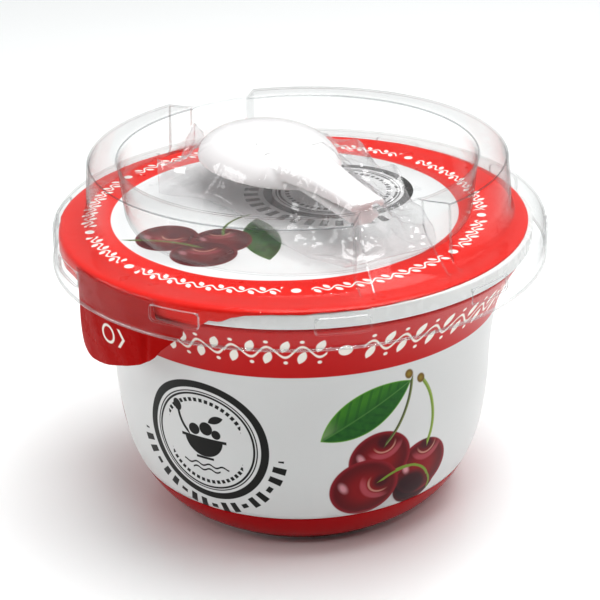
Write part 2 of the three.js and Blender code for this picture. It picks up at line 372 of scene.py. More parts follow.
def draw_side_seal(paint, spot, seen):
    """A thick ring, two thin ones, a ring of dashes, a bowl of berries, and an arc of bars below them."""
    centred = spot.local((-20.6, 27.3))
    across, up = centred.x_and_y()
    out = centred.length()
    heading = up.op("ARCTAN2", across)
    thick, thin, middling = (abs(out - r) - half for r, half in ((12.9, 0.8), (11.35, 0.13), (10.75, 0.22)))
    border = dash_ring(out, heading, 9.35, 0.42, 0.6).most(1.2 - abs(up), abs(across) - 8.2)
    bowl = (centred.disc((0, 0.9), 4.3)).most(up - 0.7)
    foot = (abs(up + 3.7) - 0.28).most(abs(across) - 2.0)
    brim = (abs(up - 0.7) - 0.32).most(abs(across) - 5.1)
    ink = thick.least(thin, middling, border, bowl, foot, brim)
    for place, radius in (((-2.0, 2.5), 1.25), ((0.7, 3.1), 1.45), ((2.9, 2.2), 1.0)):
        ink = ink.least(centred.disc(place, radius))
    leaf = centred.lens((1.3, 4.6), (4.6, 6.1), (2.5, 6.2), (3.5, 4.9))
    handle = centred.arc((-3.2, 1.3), (-4.9, 3.4), (-5.6, 6.3), 0.6)
    handle_end = centred.local((-5.75, 6.9), 12, (0.95, 1.35)).length() - 1
    ink = ink.least(leaf, handle, handle_end)
    for height, half in ((-5.4, 5.2), (-6.5, 3.2)):
        wave = abs(up - height - (across * 2.1).sine() * 0.28) - 0.2
        ink = ink.least(wave.most(abs(across) - half))
    paint.lay(BLACK_INK, ink.ink() * seen)

    # the bars: two long ones and a short one, and so on
    arc_radius, spacing = 16.1, 2.62
    step = (heading + math.pi / 2) * (arc_radius / spacing)
    beside = abs(step.wrapped(-0.5, 0.5)) * spacing
    half_height = abs((step / 3).wrapped(-0.5, 0.5)).fade(0.12, 0.2, 0.55, 1.35)
    bars = (beside - 0.72).most(abs(out - arc_radius) - half_height, up + 2.0)
    paint.lay(BLACK_INK, bars.ink() * seen)


def draw_side_cherries(paint, spot, grain):
    """Four cherries on two stems, with a leaf, over a soft shadow."""
    shadow = spot.local((16.5, 12.2), 8, (15.5, 3.2)).length()
    paint.lay((0.42, 0.41, 0.41), shadow.fade(1.0, 0.2) * 0.55)
    draw_leaf(paint, spot, (3.0, 29.6), (21.2, 40.0), (10.2, 39.0), (12.8, 30.5), grain)
    green_stem, brown_stem = (0.20, 0.30, 0.04), (0.075, 0.085, 0.03)

    def stroke(colour, *points, width):
        paint.lay(colour, spot.arc(*points, width).ink(0.2))

    draw_cherry(paint, spot, (24.3, 15.0), (5.6, 5.2), (0.2, 0.5), (0, -1), dark=0.35)
    draw_cherry(paint, spot, (25.3, 18.6), (6.6, 6.6), (0.12, 0.86), (0.1, -1))
    stroke(green_stem, (26.1, 24.0), (27.3, 31.0), (24.0, 39.3), width=0.72)
    stroke((0.34, 0.45, 0.10), (26.3, 24.0), (27.5, 31.0), (24.2, 39.3), width=0.22)
    draw_cherry(paint, spot, (15.2, 23.6), (6.7, 6.3), (0.10, 0.60), (0.25, -1))
    stroke(brown_stem, (16.0, 26.8), (20.2, 33.0), (21.3, 40.5), width=0.62)
    stroke((0.25, 0.30, 0.10), (16.2, 26.8), (20.4, 33.0), (21.5, 40.5), width=0.2)
    paint.lay((0.022, 0.006, 0.010), spot.local((22.9, 14.8), 0, (4.9, 4.2)).length().fade(1.05, 0.6) * 0.9)
    stroke(green_stem, (15.4, 18.2), (23.0, 19.9), (27.4, 15.9), width=0.55)
    draw_cherry(paint, spot, (12.1, 17.2), (7.4, 6.9), (0.46, 0.16), (-0.7, -0.7))
    stroke(green_stem, (15.4, 18.2), (19.4, 19.9), (23.0, 19.9), width=0.55)
    stroke(green_stem, (27.4, 15.9), (28.4, 14.0), (28.4, 11.8), width=0.5)
    for place in ((20.6, 41.6), (23.5, 39.8)):
        knob = spot.local(place, 20, (0.85, 1.15)).length()
        paint.lay((0.19, 0.11, 0.015), (knob - 1).ink(0.3))
        paint.lay((0.33, 0.24, 0.03), knob.fade(0.8, 0.1) * 0.7)


def draw_band(paint, turn, height):
    """The red band, with six lengths of berried vine between dots."""
    paint.lay(RED_PRINT, (BAND_BOTTOM - height).ink(0.15))
    half_length = math.pi * BAND_RADIUS / 6
    along = (turn * BAND_RADIUS - 7.9).wrapped(-half_length, half_length)
    lift = height - 51.0
    step = (along - half_length).wrapped(-3.2, 3.2)
    leaf = (0.9, -3.1), (2.1, 0.1), (0.75, -1.2), (2.25, -1.8)
    stalk, cell = vine(step, lift, 6.4, 1.4, 0.62, 0.20, leaf)
    berries = cell.disc((1.6, 2.8), 0.42), cell.disc((-1.6, -2.8), 0.42)
    dot = Spot.of(along, lift).disc((0, -0.2), 1.35)
    paint.lay(PALE_INK, stalk.least(*berries).most(3.4 - abs(along)).least(dot).ink(0.2))


def side_print(name):
    """White label with a red band. The cherries go round three times and the seal is drawn once."""
    finish = Finish(name, Specular_IOR_Level=0.18)
    turn = finish.x.op("ARCTAN2", -finish.y)
    # The three repeats meet 60 degrees either side of this azimuth.
    middle = math.radians(-5.5)
    local = (turn - middle).wrapped(-math.pi / 3, math.pi / 3) + middle
    spot = Spot.of(local * LABEL_RADIUS, finish.z)
    paint = Paint(finish.tree, WHITE_PRINT)
    draw_side_seal(paint, spot, (abs(turn) - math.radians(58)).ink(0.02))
    draw_side_cherries(paint, spot, finish.noise(0.9, 3))
    draw_band(paint, turn, finish.z)
    finish.link("Base Color", paint.colour)
    finish.link("Roughness", finish.noise(0.25, 2).fade(0.2, 0.8, 0.29, 0.30))
    return finish.material


def draw_foil_seal(paint, flat):
    """The round seal, seen past the spoon, with its arc of bars."""
    seal = flat.local((8.4, 11.6), -53)
    out = seal.length()
    across, up = seal.x_and_y()
    heading = up.op("ARCTAN2", across)
    thick, thin, middling = (abs(out - r) - half for r, half in ((14.9, 0.95), (13.1, 0.15), (12.4, 0.25)))
    border = dash_ring(out, heading, 10.8, 0.45, 0.7).most(1.3 - abs(up))
    bowl = seal.disc((0, 0.9), 4.9).most(up - 0.7)
    brim = (abs(up - 0.9) - 0.35).most(abs(across) - 5.8)
    ink = thick.least(thin, middling, border, bowl, brim)
    for place, radius in (((-2.2, 3.0), 1.4), ((0.8, 3.6), 1.6), ((3.2, 2.6), 1.15)):
        ink = ink.least(seal.disc(place, radius))
    arc_radius, spacing = 18.4, 3.05
    beside = abs((heading * (arc_radius / spacing)).wrapped(-0.5, 0.5)) * spacing
    bars = (beside - 0.8).most(abs(out - arc_radius) - 1.5, up + 2.0)
    paint.lay(BLACK_INK, ink.least(bars).ink(0.15))


def draw_foil_cherries(paint, flat, grain):
    """Three cherries with a leaf, darker than the label's because the overcap pales them."""
    shadow = flat.local((-22.0, -20.5), -20, (14.0, 7.5)).length()
    paint.lay((0.50, 0.51, 0.51), shadow.fade(1.0, 0.3) * 0.6)
    draw_leaf(paint, flat, (-5.8, -24.4), (-8.6, -3.0), (-11.4, -11.5), (-3.6, -14.0), grain, dark=0.25)
    for at, size, dimple, shine in (
        ((-26.2, -12.2), (6.3, 6.6), (0.2, 0.2), (-0.3, -1)),
        ((-15.3, -14.2), (6.0, 6.2), (-0.1, 0.75), (0.2, -1)),
        ((-18.6, -20.6), (6.6, 6.2), (0.0, 0.55), (0, -1)),
    ):
        draw_cherry(paint, flat, at, size, dimple, shine, dark=0.5)
    for *points, width in (
        ((-34.5, -12.9), (-29.5, -13.2), (-19.5, -17.5), 0.7),
        ((-15.0, -11.5), (-14.5, -6.0), (-10.0, -1.0), 0.6),
    ):
        paint.lay((0.10, 0.16, 0.03), flat.arc(*points, width).ink(0.2))


def draw_foil_ring(paint, centred):
    """The red ring at the foil's edge, with lengths of vine between dots."""
    x, y = centred.x_and_y()
    out = centred.length()
    paint.lay((0.74, 0.014, 0.007), (35.6 - out).ink(0.2))
    places = [40.2 * np.array([math.cos(a), math.sin(a)]) for a in map(math.radians, RING_DOTS)]
    first, *others = (centred.disc(place, 0.95) for place in places)
    dots = first.least(*others)
    step = (y.op("ARCTAN2", x) * (40.0 / 4.0)).wrapped(-0.5, 0.5) * 4.0
    leaf = (0.45, -1.6), (1.5, 0.05), (0.5, -0.6), (1.5, -0.9)
    stalk, _ = vine(step, out - 40.0, 4.0, 0.75, 0.66, 0.17, leaf)
    paint.lay((0.86, 0.84, 0.80), dots.least(stalk.most(1.9 - dots)).ink(0.15))


def foil_print(name):
    """The foil's face: a white middle with cherries and a seal, and a red ring with dots and a vine."""
    finish = Finish(name, Specular_IOR_Level=0.15)
    flat = Spot.of(finish.x, finish.y)
    paint = Paint(finish.tree, (0.77, 0.78, 0.785))
    draw_foil_seal(paint, flat)
    draw_foil_cherries(paint, flat, finish.noise(0.8, 3))
    draw_foil_ring(paint, flat.local((-2.9, 1.4)))
    finish.link("Base Color", paint.colour)
    wrinkles = finish.bump(finish.noise(0.11, 3, 0.6), 0.5, 0.35)
    finish.link("Normal", finish.bump(finish.noise(1.6, 2), 0.03, 0.4, after=wrinkles))
    finish.link("Roughness", finish.noise(0.2, 2).fade(0.2, 0.8, 0.26, 0.40))
    return finish.material


def tab_print(name):
    """The pull tab: red lacquer on thin foil, with a plain ring and chevron where the fingers go."""
    finish = Finish(name, Specular_IOR_Level=0.04)
    paint = Paint(finish.tree, (0.40, 0.004, 0.003))
    facing = math.radians(TAB_AZIMUTH)
    sideways = finish.y * math.cos(facing) - finish.x * math.sin(facing)
    spot = Spot.of(sideways, finish.z)
    across, up = spot.local((3.6, 50.6)).x_and_y()
    chevron = (abs(abs(up) * 0.7 + across) - 0.35).most(abs(up) - 1.9)
    paint.lay(PALE_INK, spot.ring((-0.9, 50.6), 1.75, 0.55).least(chevron).ink(0.2))
    finish.link("Base Color", paint.colour)
    crinkle = finish.bump(finish.noise(0.22, 3, 0.6), 0.6, 0.45)
    finish.link("Normal", finish.bump(finish.noise(1.8, 2), 0.03, 0.5, after=crinkle))
    finish.link("Roughness", finish.noise(0.3, 2).fade(0.2, 0.8, 0.22, 0.38))
    return finish.material


def moulded(name, colour, rough, grain, patches=0.045):
    """Moulded plastic: a little mottled, with a faint grain and finer and coarser patches of gloss."""
    finish = Finish(name)
    paint = Paint(finish.tree, colour)
    paint.lay(dimmed(colour, 0.93), finish.noise(0.12, 3).fade(0.3, 0.7) * 0.5)
    finish.link("Base Color", paint.colour)
    finish.link("Roughness", finish.noise(0.4, 3).fade(0.25, 0.75, rough - patches, rough + patches))
    if grain:
        finish.link("Normal", finish.bump(finish.noise(1.4, 2), grain, 0.35))
    return finish


def clear_sheet(name, haze, rough, see_colour, bump_height, bump_scale, edge, mirror=0.012):
    """Clear thin plastic: mostly see-through and more mirror-like at a glancing angle, where painted shade
    also greys what is seen through it.
    """
    material = bpy.data.materials.new(name)
    material.use_nodes = True
    tree = material.node_tree
    tree.nodes.clear()
    where = node(tree, "TexCoord").outputs["Object"]
    noise = node(tree, "TexNoise", {"Scale": bump_scale * MM_PER_M, "Detail": 3, "Vector": where})
    waves = noise.outputs["Fac"]
    bump = node(tree, "Bump", {"Distance": bump_height * MM, "Strength": 0.6, "Height": waves}).outputs[0]

    # Painted shade: at a glancing angle the see-through colour turns towards the grey given as edge, in place
    # of the darker surroundings that a slanting sheet shows.
    turned_away = Field(tree, node(tree, "LayerWeight", {"Blend": 0.5}).outputs["Facing"])
    tint = Paint(tree, see_colour).lay((edge,) * 3, turned_away.op("POWER", 7)).colour
    through = node(tree, "BsdfTransparent", {"Color": tint}).outputs[0]

    gloss = node(tree, "BsdfGlossy", {"Roughness": rough, "Normal": bump}).outputs[0]
    glance = Field(tree, node(tree, "LayerWeight", {"Blend": 0.5, "Normal": bump}).outputs["Facing"])
    shine = glance.op("POWER", 5) * 0.45 + mirror
    shiny = node(tree, "MixShader", {0: shine, 1: through, 2: gloss}).outputs[0]

    milk = node(tree, "BsdfDiffuse", {"Color": (0.92, 0.92, 0.93)}).outputs[0]
    hazy = node(tree, "MixShader", {0: haze, 1: shiny, 2: milk}).outputs[0]
    node(tree, "OutputMaterial", {"Surface": hazy})
    return material


# ---- mesh helpers


def mesh_of(name, points, faces):
    """A mesh whose faces all look outwards."""
    mesh = bpy.data.meshes.new(name)
    mesh.from_pydata(np.asarray(points, float).tolist(), [], [tuple(map(int, face)) for face in faces])
    mesh.validate()
    made = bmesh.new()
    made.from_mesh(mesh)
    bmesh.ops.recalc_face_normals(made, faces=made.faces)
    made.to_mesh(mesh)
    made.free()
    return mesh


def shown(name, mesh):
    obj = bpy.data.objects.new(name, mesh)
    bpy.context.collection.objects.link(obj)
    return obj


def piece(name, points, faces, material, body, slot):
    """A smooth piece from points in millimetres, with its material and body. Its slot is not used."""
    obj = shown(name, mesh_of(name, np.asarray(points, float) * MM, faces))
    obj.data.shade_smooth()
    obj.data.materials.append(material)
    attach(obj, body)
    return obj


def apply_modifiers(obj):
    bpy.context.view_layer.update()
    done = bpy.data.meshes.new_from_object(obj.evaluated_get(bpy.context.evaluated_depsgraph_get()))
    obj.modifiers.clear()
    obj.data = done


def thicken(obj, millimetres, offset):
    """Gives a sheet its thickness: inwards with an offset of -1, and both ways with 0."""
    solidify = obj.modifiers.new("thickness", "SOLIDIFY")
    solidify.thickness = millimetres * MM
    solidify.offset = offset
    apply_modifiers(obj)


def grid_faces(rows, columns, closed):
    """Faces of a grid of points stored row by row. A closed grid's last column meets its first."""
    faces = []
    for row in range(rows - 1):
        for column in range(columns if closed else columns - 1):
            following = (column + 1) % columns
            a, b = row * columns + column, row * columns + following
            faces.append((a, b, b + columns, a + columns))
    return faces


def capped_rings(rings, pole):
    """Points and faces of a surface of rings of points, whose first ring is closed off to a pole."""
    sides = len(rings[0])
    points = np.vstack([*rings, pole])
    faces = grid_faces(len(rings), sides, True)
    faces += [(k, (k + 1) % sides, len(points) - 1) for k in range(sides)]
    return points, faces


def lathe(name, profile, material, body, slot, looped=False, sides=240):
    """Turns a profile of (radius, height) about z. Points on the axis become one pole each."""
    rings, points, faces = [], [], []
    turns = np.arange(sides) * 2 * math.pi / sides
    for radius, height in profile:
        if radius < 1e-6:
            rings.append([len(points)] * sides)
            points.append((0, 0, height))
        else:
            rings.append(list(range(len(points), len(points) + sides)))
            points.extend((radius * math.cos(t), radius * math.sin(t), height) for t in turns)
    if looped:
        rings.append(rings[0])
    for low, high in zip(rings, rings[1:]):
        for k in range(sides):
            n = (k + 1) % sides
            face = [low[k], low[n], high[n], high[k]]
            face = [v for i, v in enumerate(face) if v != face[i - 1]]
            if len(set(face)) > 2:
                faces.append(face)
    return piece(name, points, faces, material, body, slot)


def rounded(corners, radius=0.25, steps=4):
    """A profile with each inner corner rounded off, as a list of (radius, height)."""
    corners = [np.asarray(c, float) for c in corners]
    out = [corners[0]]
    for before, here, after in zip(corners, corners[1:], corners[2:]):
        back, on = before - here, after - here
        reach = min(radius, np.linalg.norm(back) * 0.45, np.linalg.norm(on) * 0.45)
        start = here + back / np.linalg.norm(back) * reach
        end = here + on / np.linalg.norm(on) * reach
        for t in np.linspace(0, 1, steps + 1):
            out.append((1 - t) ** 2 * start + 2 * t * (1 - t) * here + t * t * end)
    out.append(corners[-1])
    return [tuple(p) for p in out]


# ---- the pot and its labels, in millimetres

SIDE_POINTS = np.array(
    [
        *((27.4, 0.4), (32.4, 4.5), (36, 10.2), (38.2, 17.1), (39.3, 26)),
        *((39.7, 35), (41, 44.3), (43.6, 51), (46.9, 56.9)),
    ]
)
SIDE_TOP = SIDE_POINTS[-1][1]
LABEL_THICKNESS, LABEL_GAP, LABEL_SPLIT = 0.35, 0.06, 10.2
RIM_RADIUS, RIM_TOP, RIM_BOTTOM, MOUTH_RADIUS = 47.5, 60.7, 57.4, 45.2
FLOOR_UNDERSIDE, FLOOR_THICKNESS, FOOT_INNER, FOOT_OUTER = 1.6, 0.8, 25.4, 26.4
WALL_THICKNESS = 0.8


def side_curve(steps=320):
    """The pot's visible side, a Catmull-Rom curve through SIDE_POINTS."""
    last = len(SIDE_POINTS) - 1
    out = []
    for t in np.linspace(0, last, steps):
        k = min(int(t), last - 1)
        w = t - k
        p0, p1 = SIDE_POINTS[max(k - 1, 0)], SIDE_POINTS[k]
        p2, p3 = SIDE_POINTS[k + 1], SIDE_POINTS[min(k + 2, last)]
        v0, v1 = (p2 - p0) / 2, (p3 - p1) / 2
        out.append(
            (2 * p1 - 2 * p2 + v0 + v1) * w**3 + (3 * p2 - 3 * p1 - 2 * v0 - v1) * w * w + v0 * w + p1
        )
    return np.array(out)


curve = side_curve()
slope = np.gradient(curve, axis=0)
outward = np.stack([slope[:, 1], -slope[:, 0]], axis=1)
outward /= np.linalg.norm(outward, axis=1, keepdims=True)


def side_between(low, high, inset, count):
    heights = np.linspace(max(low, curve[0, 1]), min(high, curve[-1, 1]), count)
    radius = np.interp(heights, curve[:, 1], curve[:, 0])
    normal = np.stack([np.interp(heights, curve[:, 1], outward[:, i]) for i in (0, 1)], axis=1)
    return np.stack([radius, heights], axis=1) - normal * inset


def skin(low, high, count):
    """The section of a label, a thin loop closed straight across its upper edge."""
    outer = side_between(low, high, 0, count)
    inner = side_between(low, high, LABEL_THICKNESS, count)
    edge = [outer[-1] + (inner[-1] - outer[-1]) * share for share in (0.25, 0.5, 0.75)]
    return [tuple(p) for p in (*outer, *edge, *inner[::-1])]


pot_white = moulded("pot_white", (0.80, 0.805, 0.80), 0.26, 0.006)
side_skin = skin(LABEL_SPLIT + LABEL_GAP, SIDE_TOP, 56)
label = lathe("printed_side", side_skin, side_print("side_print"), "pot", "side_print", looped=True)
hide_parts("side_label")

base_finish = moulded("base_print", BASE_RED, 0.25, None, 0.005)
base_finish.shader.inputs["Specular IOR Level"].default_value = 0.05
base_skin = skin(0, LABEL_SPLIT, 24)
base = lathe("printed_base", base_skin, base_finish.material, "pot", "base_print", looped=True)
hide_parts("base_label")

under_labels = LABEL_THICKNESS + 0.1
outside = [tuple(p) for p in side_between(0, SIDE_TOP, under_labels, 60)]
inner_inset = under_labels + WALL_THICKNESS
inside = [tuple(p) for p in side_between(2.6, RIM_BOTTOM - 1.5, inner_inset, 50)][::-1]
foot = [(4, FLOOR_UNDERSIDE), (FOOT_INNER - 0.4, FLOOR_UNDERSIDE)]
foot += [(FOOT_INNER, 0), (FOOT_OUTER, 0), outside[0]]
rim = [
    (outside[-1][0], RIM_BOTTOM - 0.05),
    (RIM_RADIUS - 0.1, RIM_BOTTOM),
    (RIM_RADIUS, RIM_BOTTOM + 0.4),
    (RIM_RADIUS, RIM_TOP - 0.2),
    (RIM_RADIUS - 0.8, RIM_TOP),
    (MOUTH_RADIUS, RIM_TOP),
    (MOUTH_RADIUS - 0.2, RIM_BOTTOM),
    inside[0],
]
floor_top = FLOOR_UNDERSIDE + FLOOR_THICKNESS
pot_profile = [(0, FLOOR_UNDERSIDE), *rounded(foot, 0.3), *outside[1:], *rounded(rim, 0.6), *inside[1:]]
pot_profile += [(24, floor_top), (0, floor_top)]
pot_shell = lathe("pot_shell", pot_profile, pot_white.material, "pot", "pot_plastic")
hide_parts("pot")


# ---- the foil lid and its tab

FOIL_TOP, FOIL_OFFSET_X, FOIL_SHEET = 61.2, -1.2, 0.12
# Radii of the foil's rings of points, and how far down its edge the last ones are.
FOIL_RINGS = (0, 6, 12, 18, 24, 29, 33, 36, 39, 41.5, 43.6, 45.2, 46.2, 46.9)
FOIL_EDGE_SHARES = (0.04, 0.12, 0.3, 0.55, 0.8, 1.0)
# How far the foil's edge is pressed down beside the tab, as (azimuth, drop), and further round behind it.
APRON_DROPS = [(-131, 3.8), (-111, 3.7), (-109, 2.5), (-106.5, 2.6), (-104, 1.5), (-101, 0.9), (-92, 0.3)]
BACK_APRON_AZIMUTH, BACK_APRON_HALF, BACK_APRON_DROP = -165, 14, 3.6


def ripple(x, y, seed, count, shortest, longest):
    """A smooth random height made of sine waves in random directions."""
    draw = np.random.default_rng(seed)
    total = np.zeros_like(x)
    for _ in range(count):
        heading = draw.uniform(0, 2 * math.pi)
        length = draw.uniform(shortest, longest)
        phase = draw.uniform(0, 2 * math.pi)
        k = 2 * math.pi / length
        total += np.sin(k * (x * math.cos(heading) + y * math.sin(heading)) + phase) * length / longest
    return total / math.sqrt(count)


def foil_mesh():
    """The foil disc with a slightly rolled, uneven edge that is pressed down beside the tab."""
    sides = 360
    turns = np.arange(sides) * 2 * math.pi / sides
    degrees = np.degrees(turns)
    depth = 0.50 + 0.10 * np.sin(turns * 23) + 0.06 * np.sin(turns * 57 + 1)
    depth = np.maximum(depth, np.interp((degrees + 180) % 360 - 180, *zip(*APRON_DROPS)))
    away = np.abs((degrees - BACK_APRON_AZIMUTH + 180) % 360 - 180)
    depth = np.maximum(depth, BACK_APRON_DROP * np.clip(1 - away / BACK_APRON_HALF, 0, 1))
    rings = []
    for radius in FOIL_RINGS:
        x, y = radius * np.cos(turns), radius * np.sin(turns)
        z = FOIL_TOP + 0.05 * ripple(x, y, 3, 9, 9, 30) * np.clip((46 - radius) / 6, 0, 1)
        z -= 0.12 * np.exp(-(((radius - 44.6) / 0.5) ** 2))
        rings.append(np.stack([x, y, z], axis=1))
    for share in FOIL_EDGE_SHARES:
        radius = 47.35 + 0.35 * min(1, share * 6) + 0.10 * np.sin(turns * 31) * share * (depth > 1)
        z = FOIL_TOP - 0.1 - depth * share
        rings.append(np.stack([radius * np.cos(turns), radius * np.sin(turns), z], axis=1))
    points, faces = capped_rings(rings[1:], rings[0][0])
    points[:, 0] += FOIL_OFFSET_X
    return points, faces


foil = piece("foil_sheet", *foil_mesh(), foil_print("foil_print"), "lid", "foil")
thicken(foil, FOIL_SHEET, -1)
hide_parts("foil_lid")

TAB_AZIMUTH, TAB_BOTTOM, TAB_TOP, TAB_RADIUS = -137, 42.7, 60.8, 49.1
# The tab's left and right edges, as (height, sideways). Its lower edge is the slanted part of the right one.
TAB_LEFT = [
    *((42.7, -7.7), (42.75, -8.6), (42.95, -9.5), (43.3, -10.2), (43.9, -10.9), (44.8, -11.4)),
    *((46.0, -11.6), (60.8, -11.4)),
]
TAB_RIGHT = [
    *((42.7, -7.5), (42.8, -5.4), (43.1, -3.6), (43.65, -1.5), (44.3, 0.7), (45.4, 4.1), (46.65, 7.4)),
    *((48.0, 9.8), (49.1, 11.2), (50.9, 12.7), (53.6, 15.9), (54.8, 17.6), (56.8, 18.0)),
    *((57.2, 12.2), (60.8, 11.5)),
]
TAB_SHEET = 0.16


def tab_mesh():
    """The hanging tab: rounded lower corners, a soft crease near its right edge, and curled edges."""
    columns, rows = 64, 60
    points = []
    for row in range(rows):
        down = 1 - (1 - row / (rows - 1)) ** 1.7
        z = TAB_TOP - down * (TAB_TOP - TAB_BOTTOM)
        above = z - TAB_BOTTOM
        left, right = (float(np.interp(z, *zip(*edge))) for edge in (TAB_LEFT, TAB_RIGHT))
        for column in range(columns):
            s = left + column / (columns - 1) * (right - left)
            azimuth = math.radians(TAB_AZIMUTH) + s / TAB_RADIUS
            below_rim = min(1.0, max(0.0, (57 - z) / 4))
            crease = 0.42 * math.exp(-(((s - 8.6 - 0.08 * above) / 0.8) ** 2)) * below_rim
            crease += 0.08 * max(0.0, s - 9.6) * below_rim
            curl = -0.5 * max(0, down - 0.55) ** 2 * 3 + 0.05 * math.sin(s * 0.9 + z * 0.5)
            r = TAB_RADIUS + curl - crease
            points.append((r * math.cos(azimuth), r * math.sin(azimuth), z))
    return points, grid_faces(rows, columns, False)


tab = piece("hanging_tab", *tab_mesh(), tab_print("tab_print"), "tab", "foil")
thicken(tab, TAB_SHEET, 0)
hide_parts("pull_tab")


# ---- the clear overcap

FLANGE_TOP, RING_TOP, RING_OUTER, RING_INNER = 62.4, 74.9, 42.3, 35.9
SKIRT_RADIUS, SKIRT_BOTTOM, LIP_RADIUS = 50.25, 54.5, 50.5
SPOON_AZIMUTH = -62.5
GRIP_HALF, GRIP_SPLAY, GRIP_BACK, GRIP_RAMP_TOP, GRIP_RAMP_FOOT = 6, 0.85, 36.7, 70, 44.4
# Rows of the overcap's section where it bends sharply, and where the ring's outer wall meets the flange.
INNER_TOP_BEND, OUTER_TOP_BEND, FLANGE_FOOT = 18, 27, 40
BEAD_AZIMUTHS = [-117.5 + 36 * k for k in range(10)]
BEAD_WIDTH, BEAD_BOTTOM, BEAD_TOP, BEAD_RISE = 10.5, 57.4, 60.8, 0.4
OVERCAP_SHEET = 0.35
# The ring's walls lean by the draft, and their feet run out into the flange within the foot's height.
WALL_DRAFT, FOOT_HEIGHT, RING_CORNER = 0.85, 1.7, 1.1
# The sheet's soft bends, as (sideways, up or down) from the ring's walls and from the skirt.
INNER_FOOT = ((1.9, 0.0), (1.65, 0.06), (1.4, 0.25), (1.2, 0.6), (1.0, 1.1), (WALL_DRAFT, FOOT_HEIGHT))
OUTER_FOOT = ((0.12, 1.1), (0.26, 0.6), (0.45, 0.25), (0.7, 0.06), (1.0, 0.0))
SHOULDER = ((1.5, 0.0), (1.1, 0.09), (0.75, 0.28), (0.45, 0.6), (0.25, 1.05))
QUARTER = [(math.cos(a), math.sin(a)) for a in map(math.radians, (18, 36, 54, 72, 90))]
# The skirt's rows, closer together where the beads begin and end, and its lip as (inwards, height).
SKIRT_ROWS = (
    *(61.0, 60.9, 60.84, 60.76, 60.6, 60.4, 60.1, 59.5, 58.8),
    *(58.1, 57.8, 57.6, 57.46, 57.38, 57.3, 57.0, 56.2, 55.5),
)
LIP = ((0.35, 55.3), (0.25, 55.12), (0.1, 55.0), (0, 54.85), (0, SKIRT_BOTTOM))


def soft_min(a, b, blend):
    h = np.clip(0.5 + (b - a) / (2 * blend), 0, 1)
    return b + (a - b) * h - blend * h * (1 - h)


def overcap_turns():
    """Azimuths in degrees: even steps, and finer ones at the grips' ends and the beads' edges."""
    turns = list(np.arange(0, 360, 1.25))
    for centre in (SPOON_AZIMUTH, SPOON_AZIMUTH + 180):
        turns += [centre + side * away for side in (-1, 1) for away in np.arange(8.0, 16.6, 0.3)]
    for outwards in (-1.0, -0.7, -0.45, -0.25, -0.08, 0.0, 0.08, 0.2):
        away = math.degrees((BEAD_WIDTH / 2 + outwards) / SKIRT_RADIUS)
        turns += [centre + side * away for centre in BEAD_AZIMUTHS for side in (-1, 1)]
    turns = np.sort(np.mod(turns, 360))
    kept = [turns[0]]
    for turn in turns[1:]:
        if turn - kept[-1] > 0.06:
            kept.append(turn)
    return np.array(kept)


def ring_wall(degrees):
    """The radius of the raised ring's outer wall at one azimuth, less where a finger grip cuts in."""
    away = min(abs((degrees - SPOON_AZIMUTH + 180) % 360 - 180), abs((degrees - SPOON_AZIMUTH) % 360 - 180))
    slant = GRIP_SPLAY * math.cos(math.radians(away)) - math.sin(math.radians(away))
    end_wall = (GRIP_SPLAY * RING_INNER - GRIP_HALF) / slant if slant > 0.3 else 2 * RING_OUTER
    grip_wall = -soft_min(-end_wall, -GRIP_BACK, 0.35)
    return float(soft_min(RING_OUTER, grip_wall, 0.35))


def ramp_height(radius):
    """The height of a grip's ramp, which runs from the grip's back down to the flange."""
    share = (GRIP_RAMP_FOOT - radius) / (GRIP_RAMP_FOOT - GRIP_BACK)
    return FLANGE_TOP + (GRIP_RAMP_TOP - FLANGE_TOP) * share


def overcap_section(degrees):
    """The overcap's outer face at one azimuth, from the middle out and down to the skirt's edge."""
    wall = ring_wall(degrees)
    ramped = float(np.clip((RING_OUTER - wall) / 0.6, 0, 1))
    corner = min(RING_CORNER, (wall - RING_INNER) * 0.46)
    fifths, quarters = (0.2, 0.4, 0.6, 0.8, 1.0), (0.25, 0.5, 0.75, 1.0)

    # the middle, and up the ring's inner wall
    section = [(r, FLANGE_TOP) for r in (0.0, 10, 20, 28, 32, 33.4)]
    section += [(RING_INNER - inwards, FLANGE_TOP + up) for inwards, up in INNER_FOOT]
    low = FLANGE_TOP + FOOT_HEIGHT
    section += [(RING_INNER - WALL_DRAFT * (1 - t), low + t * (RING_TOP - corner - low)) for t in fifths]

    # over the ring's top
    section += [(RING_INNER + corner * (1 - c), RING_TOP - corner * (1 - s)) for c, s in QUARTER]
    flat = wall - RING_INNER - 2 * corner
    section += [(RING_INNER + corner + t * flat, RING_TOP) for t in quarters]
    section += [(wall - corner * (1 - s), RING_TOP - corner * (1 - c)) for c, s in QUARTER]

    # down its outer wall, to a grip's ramp or to the flange
    low += ramped * max(0, ramp_height(wall + 0.5) + 0.6 - low)
    draft = WALL_DRAFT - 0.45 * ramped
    section += [(wall + draft * t, RING_TOP - corner + t * (low - RING_TOP + corner)) for t in fifths]
    start = wall + draft
    for share, up in OUTER_FOOT:
        plain = np.array((wall + WALL_DRAFT + 1.1 * (0.15 + 0.85 * share), FLANGE_TOP + up))
        radius = start + (GRIP_RAMP_FOOT - start) * share
        sloped = np.array((radius, ramp_height(radius) + (0.12 if share < 0.2 else 0.0)))
        section.append(tuple((1 - ramped) * plain + ramped * sloped))

    # across the flange and down the skirt to its lip
    section += [(r, FLANGE_TOP) for r in (45.4, 46.6, 47.8)]
    section += [(SKIRT_RADIUS - inwards, FLANGE_TOP - down) for inwards, down in SHOULDER]
    section += [(SKIRT_RADIUS - 0.15 - 0.1 * max(0, z - 58) / 3.4, z) for z in SKIRT_ROWS]
    section += [(LIP_RADIUS - inwards, z) for inwards, z in LIP]
    return section


